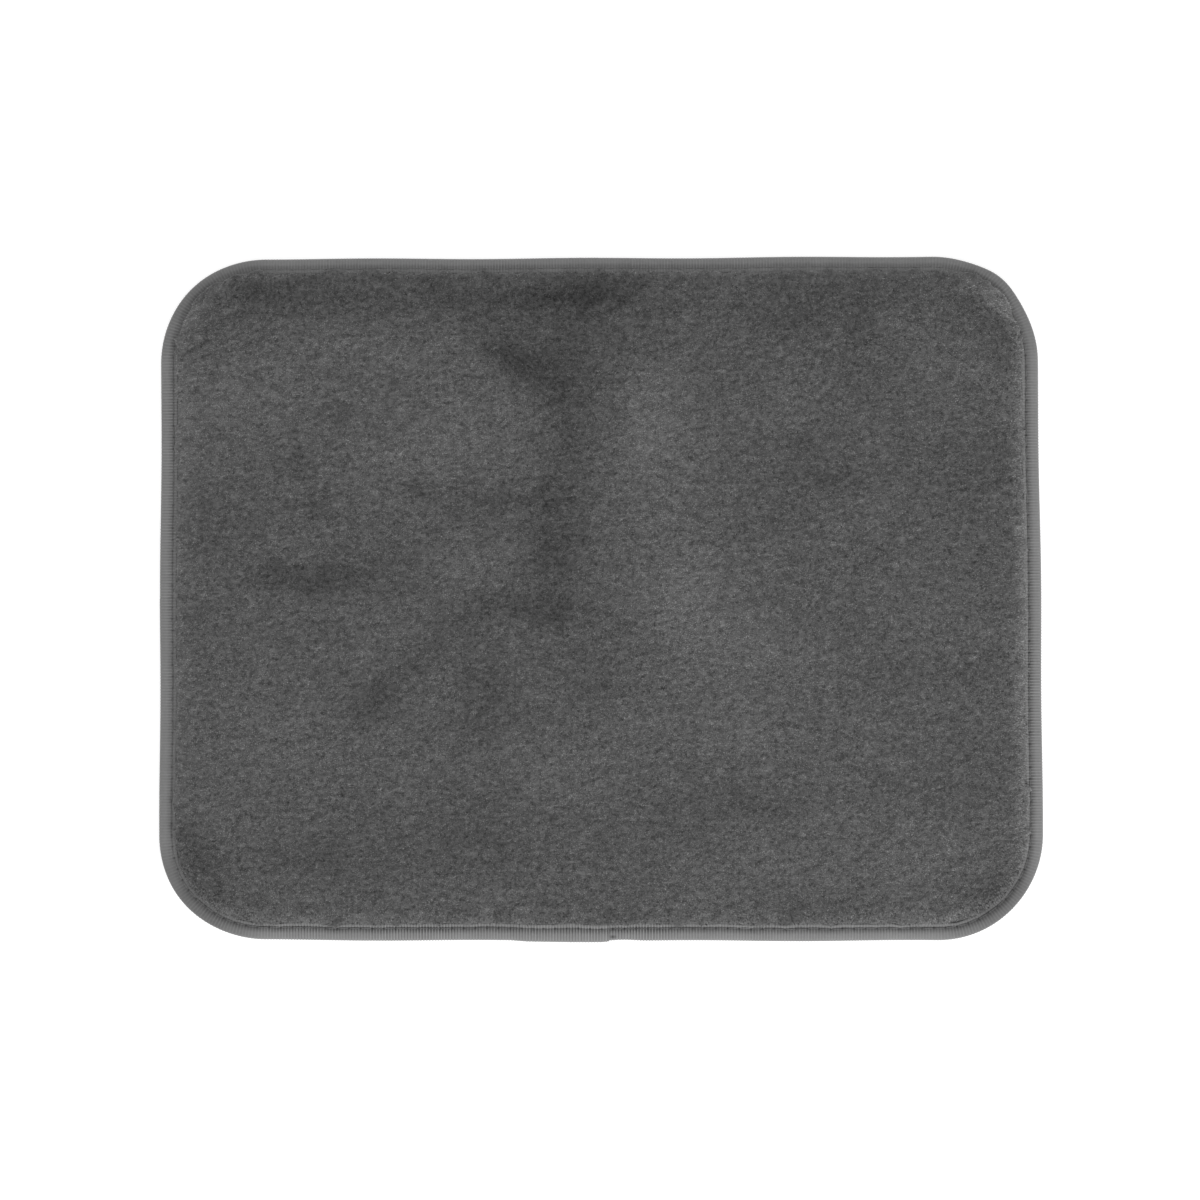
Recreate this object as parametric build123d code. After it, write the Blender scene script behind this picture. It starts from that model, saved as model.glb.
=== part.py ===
from build123d import *
import math
import os

# A small bath mat that lies face up on the floor: a foam core between a cut-pile knit and a
# backing cloth, its edge squeezed flat and bound all round with a folded, sewn tape.
# Millimetres. +X runs along the mat, +Y across it and +Z up. The origin is on the floor, under
# the middle of the mat.

# ---- The whole mat, measured over its binding ----
mat_length = 450.0
mat_width = 350.0
corner_radius = 54.0

# ---- Thicknesses, from the floor up ----
tape_thickness = 0.8
backing_thickness = 0.6
foam_thickness = 6.0
foam_edge_thickness = 2.0  # where the binding squeezes it
ground_thickness = 0.8
pile_height = 3.5

# ---- The edge, measured inwards from the outside of the binding ----
tape_top_leg = 9.0
tape_lower_leg = 9.5
fold_radius = 1.8  # outside of the tape, where it turns round the edge
cut_edge_gap = 0.2  # between the layers' cut edges and the inside of the fold
lip_gap = 0.3  # between the tape's inner edge and the swell of the foam
swell_run = 7.0  # the foam comes back to its full thickness over this
pile_shoulder = 6.0  # radius of the pile's rounded rim

# ---- The tape's two ends, lapped at the front edge ----
lap_length = 44.0
lap_end = 4.0  # where the upper end stops, along X
lap_rise = 0.5  # how much thicker the doubled tape is
lap_foot = 1.2  # below this height the doubled tape is pressed into the edge

# ---- The lockstitch seam ----
seam_inset = 6.5
stitch_pitch = 5.85
stitch_gap = 0.9  # between one stitch and the next, where the needle went in
thread_width = 0.5
thread_thickness = 0.3
seam_groove_width = 0.9
seam_groove_depth = 0.35

# ---- The grip dots under the backing ----
dot_diameter = 6.0
dot_pitch = 20.0
dot_margin = 18.0  # from the outside of the binding to the nearest dot's centre
dot_floor_gap = 0.1  # the dots meet the floor only once the foam is trodden down
dot_chamfer = 0.4

# ---- The care label, caught under the binding at the back edge ----
label_width = 30.0
label_length = 38.0
label_thickness = 0.2
label_caught = 6.0  # the end that lies under the tape
label_center = -120.0  # along X
label_gap = 0.05

# ---- Heights that follow from the thicknesses ----
backing_bottom = tape_thickness
foam_bottom = backing_bottom + backing_thickness
foam_edge_top = foam_bottom + foam_edge_thickness
foam_top = foam_bottom + foam_thickness
ground_edge_top = foam_edge_top + ground_thickness
ground_top = foam_top + ground_thickness
pile_top = ground_top + pile_height
tape_top = ground_edge_top + tape_thickness

# ---- Distances in from the outside of the binding that follow ----
cut_edge = fold_radius + cut_edge_gap
swell_start = tape_top_leg + lip_gap
swell_end = swell_start + swell_run

# ---- The corners' centres, from the +X +Y one round to the +X -Y one ----
center_x = mat_length / 2 - corner_radius
center_y = mat_width / 2 - corner_radius
corner_centers = [
    (center_x, center_y),
    (-center_x, center_y),
    (-center_x, -center_y),
    (center_x, -center_y),
]


# A section is drawn with X as the distance out from a corner's centre and Y as the height.
def section_point(inset, height):
    """The place in a section that is so far in from the outside of the binding, and so high."""
    return (corner_radius - inset, height)


def section_block(outer, inner, bottom, top):
    """A rectangle of a section, from one inset to a larger one and between two heights."""
    middle = section_point((outer + inner) / 2, (bottom + top) / 2)
    return Pos(*middle) * Rectangle(inner - outer, top - bottom)


def carry_round(section):
    """The solids that a section makes when it is carried round the mat: a straight run and a
    quarter turn for each corner."""
    upright = Plane.XZ * section
    corner = revolve(upright, Axis.Z, 90)
    solids = []
    for turn, (x, y) in enumerate(corner_centers):
        straight = 2 * (center_x if turn % 2 else center_y)
        place = Pos(x, y) * Rot(0, 0, 90 * turn)
        solids += [place * corner, place * extrude(upright, straight)]
    return solids


def ring(section):
    """One solid ring round the mat, of the given section."""
    return Part() + carry_round(section)


def layer(outline, bottom, top):
    """One solid layer: its edge is carried round, and a flat slab fills the middle."""
    slab = Pos(0, 0, (bottom + top) / 2) * Box(2 * center_x, 2 * center_y, top - bottom)
    return Part() + carry_round(make_face(outline)) + slab


def depth_in(x, y):
    """How far a point lies in from the outside of the binding, up to the corners' centres."""
    beyond_x = max(abs(x) - center_x, 0)
    beyond_y = max(abs(y) - center_y, 0)
    return corner_radius - math.hypot(beyond_x, beyond_y)


def foam_core():
    """Foam sheet, full in the middle and squeezed thin at the edge."""
    outline = Polyline(
        section_point(corner_radius, foam_bottom),
        section_point(cut_edge, foam_bottom),
        section_point(cut_edge, foam_edge_top),
        section_point(swell_start, foam_edge_top),
        section_point(swell_end, foam_top),
        section_point(corner_radius, foam_top),
        close=True,
    )
    return layer(outline, foam_bottom, foam_top)


def ground_cloth():
    """Knitted cloth that holds the pile, laid over the foam and following its swell."""
    outline = Polyline(
        section_point(corner_radius, foam_top),
        section_point(swell_end, foam_top),
        section_point(swell_start, foam_edge_top),
        section_point(cut_edge, foam_edge_top),
        section_point(cut_edge, ground_edge_top),
        section_point(swell_start, ground_edge_top),
        section_point(swell_end, ground_top),
        section_point(corner_radius, ground_top),
        close=True,
    )
    return layer(outline, foam_top, ground_top)


def plush_pile():
    """The field of cut pile: flat on top, with a rounded rim that stands beside the tape."""
    rim_foot = section_point(swell_start, pile_top - pile_shoulder)
    rim_top = section_point(swell_start + pile_shoulder, pile_top)
    outline = [
        Polyline(
            rim_top,
            section_point(corner_radius, pile_top),
            section_point(corner_radius, ground_top),
            section_point(swell_end, ground_top),
            section_point(swell_start, ground_edge_top),
            rim_foot,
        ),
        TangentArc(rim_foot, rim_top, tangent=(0, 1)),
    ]
    return layer(outline, ground_top, pile_top)


def backing_sheet():
    """Flat backing cloth under the foam."""
    outline = RectangleRounded(
        mat_length - 2 * cut_edge, mat_width - 2 * cut_edge, corner_radius - cut_edge
    )
    return Pos(0, 0, backing_bottom) * extrude(outline, backing_thickness)


def label_blank(slack):
    """The label's block, larger by the slack at its sides, its caught end and its top."""
    outer_y = mat_width / 2 - (tape_lower_leg - label_caught) + slack
    inner_y = mat_width / 2 - tape_lower_leg - (label_length - label_caught)
    thickness = label_thickness + slack
    middle = (label_center, (outer_y + inner_y) / 2, backing_bottom - thickness / 2)
    return Pos(*middle) * Box(label_width + 2 * slack, outer_y - inner_y, thickness)


def care_label():
    """Blank satin label that lies flat against the backing."""
    return label_blank(0)


def tape_section():
    """The tape folded round the edge: a leg on top, a leg underneath and the fold between."""
    legs = max(tape_top_leg, tape_lower_leg)
    outside = section_block(0, legs, 0, tape_top)
    outside = fillet(outside.vertices().group_by(Axis.X)[-1], fold_radius)
    inside = section_block(tape_thickness, legs, backing_bottom, ground_edge_top)
    inside = fillet(inside.vertices().group_by(Axis.X)[-1], fold_radius - tape_thickness)
    above = section_block(tape_top_leg, corner_radius, backing_bottom, pile_top)
    below = section_block(tape_lower_leg, corner_radius, 0, ground_edge_top)
    return outside - inside - above - below


def lap_section():
    """The tape's upper end over its lower one: it starts inside the lower one's thickness."""
    within = tape_thickness / 2
    outside = section_block(-lap_rise, tape_top_leg, lap_foot, tape_top + lap_rise)
    corner = outside.vertices().group_by(Axis.X)[-1].sort_by(Axis.Y)[-1]
    outside = fillet(corner, fold_radius + lap_rise)
    inside = section_block(within, tape_top_leg, lap_foot, tape_top - within)
    corner = inside.vertices().group_by(Axis.X)[-1].sort_by(Axis.Y)[-1]
    return outside - fillet(corner, fold_radius - within)


def edge_binding():
    """The tape: one strip round the whole edge, its upper end lapped over its lower one at the
    front, with a groove pulled into each side by the seam."""
    lap = extrude(Plane.XZ * lap_section(), lap_length)
    tape = ring(tape_section()) + Pos(lap_end, -center_y) * Rot(0, 0, -90) * lap
    outer = seam_inset - seam_groove_width / 2
    inner = seam_inset + seam_groove_width / 2
    groove_above = section_block(outer, inner, tape_top - seam_groove_depth, pile_top)
    groove_below = section_block(outer, inner, 0, seam_groove_depth)
    return tape - ring(groove_above) - ring(groove_below) - label_blank(label_gap)


def stitches(bottom):
    """One thread's stitches, as short flat bars in a row along the seam."""
    middle = bottom + thread_thickness / 2
    seam = Wire(
        RectangleRounded(
            mat_length - 2 * seam_inset, mat_width - 2 * seam_inset, corner_radius - seam_inset
        ).edges()
    )
    count = round(seam.length / stitch_pitch)
    length = seam.length / count - stitch_gap
    bar = Box(length, thread_width, thread_thickness)
    bars = []
    for index in range(count):
        place = (index + 0.5) / count
        point = seam @ place
        along = seam % place
        turn = math.degrees(math.atan2(along.Y, along.X))
        bars.append(Pos(point.X, point.Y, middle) * Rot(0, 0, turn) * bar)
    return Compound([bar.solid() for bar in bars])


def needle_thread():
    """The stitches on top, at the bottom of the tape's upper groove."""
    return stitches(tape_top - seam_groove_depth)


def bobbin_thread():
    """The stitches underneath, pulled up to the top of the tape's lower groove."""
    return stitches(seam_groove_depth - thread_thickness)


def grip_dots():
    """Staggered rows of low rubber dots on the backing, left out where the label lies."""
    height = backing_bottom - dot_floor_gap
    dot = Pos(0, 0, dot_floor_gap + height / 2) * Cylinder(dot_diameter / 2, height)
    dot = chamfer(dot.edges().group_by(Axis.Z)[0], dot_chamfer)
    label = label_blank(dot_diameter / 2 + label_gap).bounding_box()
    row_pitch = dot_pitch * math.sqrt(3) / 2
    rows = int(mat_width / 2 / row_pitch)
    columns = int(mat_length / 2 / dot_pitch) + 1
    dots = []
    for row in range(-rows, rows + 1):
        y = row * row_pitch
        shift = dot_pitch / 2 if row % 2 else 0
        for column in range(-columns, columns + 1):
            x = column * dot_pitch + shift
            under_label = label.min.X < x < label.max.X and y > label.min.Y - dot_diameter / 2
            if depth_in(x, y) >= dot_margin and not under_label:
                dots.append(Pos(x, y) * dot)
    return Compound([dot.solid() for dot in dots])


nodes = {
    "backing_sheet": backing_sheet(),
    "grip_dots": grip_dots(),
    "foam_core": foam_core(),
    "ground_cloth": ground_cloth(),
    "plush_pile": plush_pile(),
    "edge_binding": edge_binding(),
    "needle_thread": needle_thread(),
    "bobbin_thread": bobbin_thread(),
    "care_label": care_label(),
}

os.makedirs("parts", exist_ok=True)
for name, shape in nodes.items():
    export_step(shape, f"parts/{name}.step")
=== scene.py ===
import math

import bpy
import numpy as np
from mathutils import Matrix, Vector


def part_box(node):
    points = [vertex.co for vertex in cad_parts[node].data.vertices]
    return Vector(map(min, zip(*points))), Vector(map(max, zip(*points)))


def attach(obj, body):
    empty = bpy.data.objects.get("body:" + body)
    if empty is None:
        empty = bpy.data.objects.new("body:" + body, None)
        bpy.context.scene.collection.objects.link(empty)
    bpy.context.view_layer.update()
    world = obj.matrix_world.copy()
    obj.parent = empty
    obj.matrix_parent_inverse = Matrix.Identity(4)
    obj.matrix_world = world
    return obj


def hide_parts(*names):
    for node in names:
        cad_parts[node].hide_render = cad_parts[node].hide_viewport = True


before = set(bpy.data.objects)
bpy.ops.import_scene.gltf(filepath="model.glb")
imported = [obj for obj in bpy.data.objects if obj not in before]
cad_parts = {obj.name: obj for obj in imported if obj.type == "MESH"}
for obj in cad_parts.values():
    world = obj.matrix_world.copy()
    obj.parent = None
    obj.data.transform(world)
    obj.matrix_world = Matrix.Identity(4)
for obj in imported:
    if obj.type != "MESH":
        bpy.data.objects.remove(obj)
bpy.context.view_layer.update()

# ---- The foam core ----
# One sheet of open-celled foam with rounded corners. Nothing glues it: the binding squeezes its
# edge to a third of its thickness, and the seam through all the layers holds it there.

mm = 0.001
corner_radius = 54 * mm
seam_inset = 6.5 * mm
tape_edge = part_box("edge_binding")[1]
half_length, half_width = tape_edge.x, tape_edge.y
center_x, center_y = half_length - corner_radius, half_width - corner_radius

foam_low, foam_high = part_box("foam_core")
ground_low, ground_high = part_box("ground_cloth")
pile_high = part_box("plush_pile")[1]
cut_edge = half_length - foam_high.x
swell_start = half_length - pile_high.x
swell_run = 7 * mm

# A walk along the seam starts at the middle of the front edge and turns left at each corner.
corner_walk = math.pi / 2 * (corner_radius - seam_inset)
walk_legs = [0, center_x] + 3 * [corner_walk, 2 * center_y, corner_walk, 2 * center_x]
walk_ends = np.cumsum(walk_legs[:9] + [center_x])
walk_x = center_x * np.array([0, 1, 1, 1, 1, -1, -1, -1, -1, 0])
walk_y = center_y * np.array([-1, -1, -1, 1, 1, 1, 1, -1, -1, -1])
walk_facing = math.pi / 2 * np.array([-1, -1, 0, 0, 1, 1, 2, 2, 3, 3])
seam_length = walk_ends[-1]


def along_edge(walked, inset, height):
    """Points beside a walk along the seam, at an inset from the outside of the binding and a
    height. On a side the corner-centre line moves and the facing stays, and at a corner the
    facing turns and the centre stays; the point is the centre plus facing times (radius - inset)."""
    walked = np.mod(walked, seam_length)
    facing = np.interp(walked, walk_ends, walk_facing)
    reach = corner_radius - inset
    x = np.interp(walked, walk_ends, walk_x) + reach * np.cos(facing)
    y = np.interp(walked, walk_ends, walk_y) + reach * np.sin(facing)
    return np.stack(np.broadcast_arrays(x, y, height), -1)


# How far each corner is drawn out of place: the front left and right, then the back two.
corner_drift = mm * np.array([[(-0.4, 0.5), (1.2, 0.0)], [(0.8, -1.7), (-2.5, 0.1)]])
# Each corner's fuller part: which corner, the middle and spread of its angle, and how far out.
corner_bulges = [(-1, 1, 45, 25, 0.6 * mm), (1, 1, 50, 14, 1.7 * mm), (-1, -1, 35, 25, 0.9 * mm)]
side_bow = {"front": 0.5 * mm, "right": 0.85 * mm, "back": -0.4 * mm, "left": 0.3 * mm}
edge_wave = 0.25 * mm
back_seam_out = 1.3 * mm  # how much nearer to the edge the seam runs at the back


def depth_in(x, y):
    """How far in from the outside of the binding: radius - distance beyond the corner centres."""
    beyond = np.hypot(np.maximum(np.abs(x) - center_x, 0), np.maximum(np.abs(y) - center_y, 0))
    return corner_radius - beyond


def as_sewn(points):
    """Moves points as hand cutting and sewing did, so that no side is quite straight: the four
    corners' drifts blended across the mat, plus each side's bow times (1 - place squared), plus
    a slow wave that is strongest at the edges, plus the back seam's shift towards its edge, plus
    at a corner out x exp(-((angle - middle) / spread) squared)."""
    u, v = points[..., 0] / half_length, points[..., 1] / half_width
    depth = depth_in(points[..., 0], points[..., 1])
    seam_shift = back_seam_out * np.interp(depth, np.array([0, 6, 12, 40]) * mm, [0, 1, 1, 0])
    seam_shift = seam_shift * np.maximum(v, 0) ** 6
    right, back = (1 + u) / 2, (1 + v) / 2
    share = np.stack([(1 - right) * (1 - back), right * (1 - back), (1 - right) * back, right * back])
    drift = np.tensordot(share, corner_drift.reshape(4, 2), (0, 0))
    bow_x = side_bow["right"] * right - side_bow["left"] * (1 - right)
    bow_y = side_bow["back"] * back - side_bow["front"] * (1 - back)
    moved = np.array(points, float)
    moved[..., 0] += drift[..., 0] + (1 - v * v) * bow_x + edge_wave * u**3 * np.sin(9 * v + 1)
    moved[..., 1] += drift[..., 1] + (1 - u * u) * bow_y + edge_wave * v**3 * np.sin(13 * u + 2)
    moved[..., 1] += seam_shift
    beyond_x = np.maximum(np.abs(points[..., 0]) - center_x, 0)
    beyond_y = np.maximum(np.abs(points[..., 1]) - center_y, 0)
    angle = np.degrees(np.arctan2(beyond_y, beyond_x))
    for side_x, side_y, middle, spread, out in corner_bulges:
        here = (u * side_x > 0) & (v * side_y > 0)
        push = here * out * np.exp(-(((angle - middle) / spread) ** 2)) / corner_radius
        moved[..., 0] += push * side_x * beyond_x
        moved[..., 1] += push * side_y * beyond_y
    return moved


def ring_faces(rings, count):
    """Quads between rings of points: each joins places i and i + 1 of one ring to the next."""
    here = np.arange(count)
    beside = np.roll(here, -1)
    first = count * np.arange(rings - 1)[:, None]
    second = first + count
    return np.stack([first + here, first + beside, second + beside, second + here], -1).reshape(-1, 4)


def fan(ring, pole):
    """Triangles that join each pair of neighbours round a ring to one point more, its pole."""
    return np.stack([ring, np.roll(ring, -1), np.full(len(ring), pole)], -1)


def turned_out(points, faces):
    """The faces, reversed if the volume that they enclose comes out negative."""
    volume = 0.0
    for some in faces:
        a = points[some[:, 0]]
        for k in range(1, some.shape[1] - 1):
            b, c = points[some[:, k]], points[some[:, k + 1]]
            volume += (a * np.cross(b, c)).sum()
    return faces if volume > 0 else [some[:, ::-1] for some in faces]


def piece_of(name, points, faces, smooth=True):
    """A new object at the origin from an array of points and a list of face arrays."""
    points = np.asarray(points, float).reshape(-1, 3)
    faces = turned_out(points, faces)
    sizes = np.concatenate([np.full(len(some), some.shape[1]) for some in faces])
    corners = np.concatenate([some.reshape(-1) for some in faces])
    mesh = bpy.data.meshes.new(name)
    mesh.vertices.add(len(points))
    mesh.vertices.foreach_set("co", points.reshape(-1).astype(np.float32))
    mesh.loops.add(len(corners))
    mesh.loops.foreach_set("vertex_index", corners.astype(np.int32))
    mesh.polygons.add(len(sizes))
    mesh.polygons.foreach_set("loop_start", (np.cumsum(sizes) - sizes).astype(np.int32))
    mesh.polygons.foreach_set("use_smooth", np.full(len(sizes), smooth))
    mesh.update(calc_edges=True)
    mesh.validate()
    piece = bpy.data.objects.new(name, mesh)
    bpy.context.scene.collection.objects.link(piece)
    return piece


def capped(name, rings):
    """A closed piece from rings of points, the first and the last closed to their middle."""
    count = rings.shape[1]
    poles = [rings[0].mean(0), rings[-1].mean(0)]
    points = np.vstack([rings.reshape(-1, 3), poles])
    first = np.arange(count)
    last = first + (len(rings) - 1) * count
    ends = [fan(first, len(points) - 2)[:, ::-1], fan(last, len(points) - 1)]
    return piece_of(name, points, [ring_faces(len(rings), count)] + ends)


def pressed_to_corners(x, y, reach):
    """A square-cornered grid pressed into the rounded outline. Past the corner centres, the shares
    u and v of the reach become u x root(1 - v squared / 2) and v x root(1 - u squared / 2)."""
    u = np.maximum(np.abs(x) - center_x, 0) / reach
    v = np.maximum(np.abs(y) - center_y, 0) / reach
    round_x = np.minimum(np.abs(x), center_x) + reach * u * np.sqrt(1 - v * v / 2)
    round_y = np.minimum(np.abs(y), center_y) + reach * v * np.sqrt(1 - u * u / 2)
    return np.sign(x) * round_x, np.sign(y) * round_y


def grid_faces(rows, columns):
    """Quads of a grid whose points run along its rows."""
    first = (np.arange(rows - 1)[:, None] * columns + np.arange(columns - 1)).reshape(-1)
    return np.stack([first, first + 1, first + columns + 1, first + columns], -1)


def grid_rim(rows, columns):
    """The grid's outside points in order: along the first row, up, back along the last, down."""
    last = (rows - 1) * columns
    return np.concatenate([
        np.arange(columns),
        np.arange(1, rows - 1) * columns + columns - 1,
        last + np.arange(columns)[::-1],
        np.arange(1, rows - 1)[::-1] * columns,
    ])


skin_reach = corner_radius - swell_start
skin_x = np.linspace(-center_x - skin_reach, center_x + skin_reach, 88)
skin_y = np.linspace(-center_y - skin_reach, center_y + skin_reach, 68)
swell_cap = 0.9 * mm


def pressed_skin():
    """How far the foam's skin rises under the foam's pressure between the seams: cloth pinned at
    the binding, blown up gently, then read back as heights and capped by cap x tanh(rise / cap)."""
    x, y = pressed_to_corners(*np.meshgrid(skin_x, skin_y), skin_reach)
    rise = np.zeros(x.shape)
    points = np.stack([x, y, 0 * x + foam_high.z], -1)
    skin = piece_of("foam_skin", points, [grid_faces(*x.shape)])
    seam = skin.vertex_groups.new(name="seam")
    seam.add(grid_rim(*x.shape).tolist(), 1.0, "REPLACE")
    cloth = skin.modifiers.new("foam_pressure", "CLOTH")
    cloth.settings.quality = 6
    cloth.settings.mass = 0.15
    cloth.settings.vertex_group_mass = "seam"
    cloth.settings.shrink_min = -0.004
    cloth.settings.use_pressure = True
    cloth.settings.uniform_pressure_force = 4.0
    cloth.settings.effector_weights.gravity = 0.0
    for step in range(1, 21):
        bpy.context.scene.frame_set(step)
    blown = skin.evaluated_get(bpy.context.evaluated_depsgraph_get()).data
    settled = np.empty(len(blown.vertices) * 3)
    blown.vertices.foreach_get("co", settled)
    rise = np.abs(settled.reshape(*x.shape, 3)[..., 2] - foam_high.z)
    bpy.data.objects.remove(skin)
    bpy.context.scene.frame_set(1)
    return swell_cap * np.tanh(rise / swell_cap)


def read_grid(field, lines_x, lines_y, at_x, at_y):
    """Reads a field of a grid at places between its lines: a blend of the four nearest."""
    across = np.interp(at_x, lines_x, np.arange(len(lines_x)))
    along = np.interp(at_y, lines_y, np.arange(len(lines_y)))
    column = np.minimum(across.astype(int), len(lines_x) - 2)
    row = np.minimum(along.astype(int), len(lines_y) - 2)
    right, up = across - column, along - row
    if field.ndim == 3:
        right, up = right[..., None], up[..., None]
    lower = field[row, column] * (1 - right) + field[row, column + 1] * right
    upper = field[row + 1, column] * (1 - right) + field[row + 1, column + 1] * right
    return lower * (1 - up) + upper * up


skin_rise = pressed_skin()


def swell_at(x, y):
    """The skin's rise at a place, which fades out where the binding begins."""
    inward = np.clip((depth_in(x, y) - swell_start) / swell_run, 0, 1)
    return read_grid(skin_rise, skin_x, skin_y, x, y) * inward


edge_stations = 320
middle_rings = 14


def layer_piece(name, profile, swollen=slice(0)):
    """One layer of the mat: its profile of (inset, height), from the underside's middle out round
    the edge and in to the top's middle, is carried along the edge; the two flat middles are more
    rings, drawn in towards the centre in equal steps. Of all these rings the swollen ones rise
    with the foam's skin."""
    walked = np.linspace(0, seam_length, edge_stations, endpoint=False)
    rings = np.array([along_edge(walked, inset, height) for inset, height in profile])
    steps = np.linspace(0.05, 1, middle_rings, endpoint=False)[:, None, None] * (1, 1, 0) + (0, 0, 1)
    rings = np.concatenate([rings[0] * steps, rings, rings[-1] * steps[::-1]])
    rings[swollen, :, 2] += swell_at(rings[swollen, :, 0], rings[swollen, :, 1])
    return capped(name, as_sewn(rings))


def swell_profile(lift):
    """The foam's upper skin from the binding in to where it is flat, raised by the lift."""
    share = np.array([0, 0.3, 0.7, 1, 1.5])
    low, high = ground_low.z, foam_high.z
    height = np.array([low, low + 1.0 * mm, high - 0.9 * mm, high - 0.1 * mm, high])
    return list(zip(swell_start + share * swell_run, height + lift))


def add_node(tree, kind, inputs=None, **settings):
    """Adds a shader node. Settings are its properties; each input is a value or a socket."""
    node = tree.nodes.new(kind)
    for name, value in settings.items():
        setattr(node, name, value)
    for name, value in (inputs or {}).items():
        if isinstance(value, bpy.types.NodeSocket):
            tree.links.new(value, node.inputs[name])
        else:
            node.inputs[name].default_value = value
    return node


def combined(tree, operation, first, second):
    """Two numbers or sockets through one Math node."""
    return add_node(tree, "ShaderNodeMath", {0: first, 1: second}, operation=operation).outputs[0]


def remapped(tree, socket, low, high, from_low=0.0, from_high=1.0):
    """A value that runs between two bounds, 0 and 1 if none are given, made to run from low to high."""
    stretch = {"Value": socket, "From Min": from_low, "From Max": from_high, "To Min": low, "To Max": high}
    return add_node(tree, "ShaderNodeMapRange", stretch).outputs[0]


def noise(tree, place, scale, detail):
    """A cloud of values about a half, whose scale is its waves to a metre."""
    given = {"Vector": place, "Scale": scale, "Detail": detail}
    return add_node(tree, "ShaderNodeTexNoise", given).outputs[0]


def new_material(name, uniform):
    """A material, its tree, its Principled shader with its uniform sockets set, and the place of
    each point on the piece."""
    material = bpy.data.materials.new(name)
    material.use_nodes = True
    tree = material.node_tree
    shader = tree.nodes["Principled BSDF"]
    for socket, value in uniform.items():
        shader.inputs[socket].default_value = value
    return material, tree, shader, add_node(tree, "ShaderNodeTexCoord").outputs["Object"]


def tinted(tree, shader, tone, color):
    """Makes the shader's Base Color a colour times a tone that varies over the surface."""
    mix = add_node(tree, "ShaderNodeVectorMath", {0: color, "Scale": tone}, operation="SCALE")
    tree.links.new(mix.outputs[0], shader.inputs["Base Color"])


def bumped(tree, shader, height, strength, distance):
    """Feeds a height to the shader's normal through a Bump node."""
    bump = add_node(tree, "ShaderNodeBump", {"Height": height, "Strength": strength, "Distance": distance})
    tree.links.new(bump.outputs["Normal"], shader.inputs["Normal"])


def in_group(tree, group, inputs):
    """Places a shader node group in a material, with its own values."""
    return add_node(tree, "ShaderNodeGroup", inputs, node_tree=group)


def new_group(name, inputs, outputs):
    """A shader node group with its named inputs, each with a starting value, and its outputs."""
    group = bpy.data.node_groups.new(name, "ShaderNodeTree")
    for label, start in inputs.items():
        kind = "NodeSocketFloat" if isinstance(start, float) else "NodeSocketVector"
        socket = group.interface.new_socket(label, in_out="INPUT", socket_type=kind)
        if kind == "NodeSocketFloat":
            socket.default_value = start
    for label in outputs:
        group.interface.new_socket(label, in_out="OUTPUT", socket_type="NodeSocketFloat")
    return group, group.nodes.new("NodeGroupInput").outputs, group.nodes.new("NodeGroupOutput")


def mottle_group():
    """Uneven colour of dyed fibre: a soft cloud with a fine grain over it, as one tone about 1.
    Tone = 1 + amount x ((cloud + grain) - 1)."""
    starts = {"Place": None, "Size": 0.01, "Amount": 0.2}
    group, given, result = new_group("fibre_mottle", starts, ["Tone"])
    per_metre = combined(group, "DIVIDE", 1.0, given["Size"])
    cloud = noise(group, given["Place"], per_metre, detail=3.0)
    grain = noise(group, given["Place"], combined(group, "MULTIPLY", per_metre, 9.0), detail=2.0)
    both = combined(group, "ADD", cloud, grain)
    uneven = combined(group, "MULTIPLY", combined(group, "SUBTRACT", both, 1.0), given["Amount"])
    group.links.new(combined(group, "ADD", uneven, 1.0), result.inputs["Tone"])
    return group


fibre_mottle = mottle_group()


def mottled(tree, place, size, amount, tone=1.0):
    """A tone times the unevenness of dyed fibre, with patches of a size and of an amount."""
    uneven = in_group(tree, fibre_mottle, {"Place": place, "Size": size, "Amount": amount})
    return combined(tree, "MULTIPLY", uneven.outputs["Tone"], tone)


def foam_material():
    """Pale foam whose cut face is all small open cells: the cells' walls stand, their middles sink,
    and the walls are painted paler and the middles darker, as painted light and shade.
    """
    material, tree, shader, place = new_material("open_cell_foam", {"Roughness": 0.95})
    cells = {"Vector": place, "Scale": 900.0}
    depth = add_node(tree, "ShaderNodeTexVoronoi", cells, feature="DISTANCE_TO_EDGE").outputs["Distance"]
    cell_walls_and_painted_shade = remapped(tree, depth, 1.08, 0.8)
    tinted(tree, shader, mottled(tree, place, 20 * mm, 0.15, cell_walls_and_painted_shade), (0.62, 0.6, 0.53))
    bumped(tree, shader, cell_walls_and_painted_shade, strength=0.7, distance=0.4 * mm)
    return material


foam_core = layer_piece(
    "foam_core_sheet",
    [
        (swell_start + swell_run, foam_low.z),
        (cut_edge + 0.5 * mm, foam_low.z),
        (cut_edge + 0.1 * mm, foam_low.z + 0.3 * mm),
        (cut_edge + 0.1 * mm, ground_low.z - 0.4 * mm),
        (cut_edge + 0.5 * mm, ground_low.z - 0.1 * mm),
        *swell_profile(lift=0),
    ],
    swollen=slice(middle_rings + 5, None),
)
foam_core.data.materials.append(foam_material())
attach(foam_core, "root")
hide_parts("foam_core")


# ---- The backing cloth ----
# A plain-woven cloth, cut with the foam and laid flat under it. Its edge is caught between the
# foam and the lower leg of the binding.

backing_low, backing_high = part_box("backing_sheet")


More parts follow.
